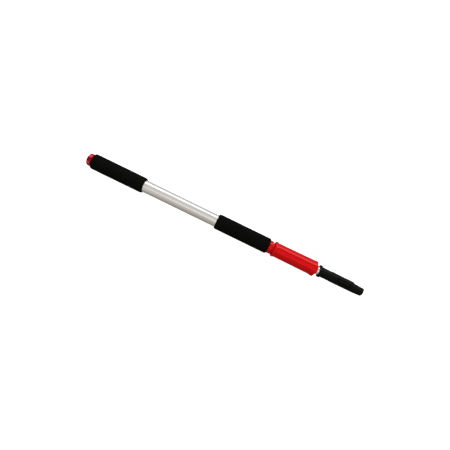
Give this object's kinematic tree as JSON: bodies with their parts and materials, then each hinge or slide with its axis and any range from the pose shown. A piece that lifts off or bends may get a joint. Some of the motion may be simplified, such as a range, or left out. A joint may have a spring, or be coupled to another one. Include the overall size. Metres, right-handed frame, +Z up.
{
  "type": "roller extension pole",
  "caption": "Telescoping extension pole with foam grips, a pull-back lock sleeve that frees the inner tube, and a latched quick-connect tip for a paint roller.",
  "frame": {"origin": "on the ground under the middle of the retracted pole: the centre of the bottom of its box", "axes": "+X along the pole from the butt cap to the tip, +Y out of the tip's key flat and the sleeve's thumb rib, +Z up, out of the tip's latch"},
  "size_m": [0.762, 0.04, 0.04],
  "materials": {
    "tube": "satin",
    "red_cap": "gloss",
    "red_plastic": "satin",
    "black_plastic": "matte",
    "foam": "matte",
    "nylon": "satin",
    "rubber": "matte",
    "steel": "satin"
  },
  "bodies": {
    "handle": {"outer_tube": "tube", "butt_cap": "red_cap", "butt_pin": "steel", "rear_grip": "foam", "front_grip": "foam", "lock_body": "red_plastic", "lock_rivet_1": "steel", "lock_rivet_2": "steel", "spring_seat": "steel", "sleeve_spring": "steel", "nose_cap": "red_plastic", "nose_bushing": "nylon", "stop_bumper": "rubber"},
    "sleeve": {"lock_sleeve": "red_plastic", "cam_ring": "nylon"},
    "grip_jaw_1": {"jaw_1": "steel"},
    "grip_jaw_2": {"jaw_2": "steel"},
    "grip_jaw_3": {"jaw_3": "steel"},
    "inner_pole": {"inner_tube": "tube", "rear_guide": "nylon", "glide_ring": "rubber", "guide_pin": "steel", "tip_body": "black_plastic", "tip_pin": "steel", "latch_pin": "steel", "latch_spring": "steel"},
    "latch": {"tip_latch": "black_plastic"}
  },
  "joints": [
    {"name": "pole_extend", "type": "slide", "parent": "handle", "child": "inner_pole", "axis": [1, 0, 0], "range_m": [0, 0.445]},
    {"name": "sleeve_release", "type": "slide", "parent": "handle", "child": "sleeve", "axis": [-1, 0, 0], "range_m": [0, 0.0045], "stiffness_N_per_m": 1500, "springref_m": -0.004, "deforming": ["sleeve_spring"]},
    {"name": "jaw_1_open", "type": "slide", "parent": "handle", "child": "grip_jaw_1", "axis": [0, 1, 0], "range_m": [0, 0.000405]},
    {"name": "jaw_2_open", "type": "slide", "parent": "handle", "child": "grip_jaw_2", "axis": [0, -0.5, 0.866], "range_m": [0, 0.000405]},
    {"name": "jaw_3_open", "type": "slide", "parent": "handle", "child": "grip_jaw_3", "axis": [0, -0.5, -0.866], "range_m": [0, 0.000405]},
    {"name": "latch_press", "type": "hinge", "parent": "inner_pole", "child": "latch", "pos_m": [0.3425, 0, 0.0276], "axis": [0, -1, 0], "range_deg": [0, 5], "stiffness_Nm_per_rad": 0.2, "springref_deg": -2.86, "deforming": ["latch_spring"]}
  ],
  "couplings": [
    {"joint": "jaw_1_open", "follows": "sleeve_release", "ratio": 0.09},
    {"joint": "jaw_2_open", "follows": "sleeve_release", "ratio": 0.09},
    {"joint": "jaw_3_open", "follows": "sleeve_release", "ratio": 0.09}
  ]
}
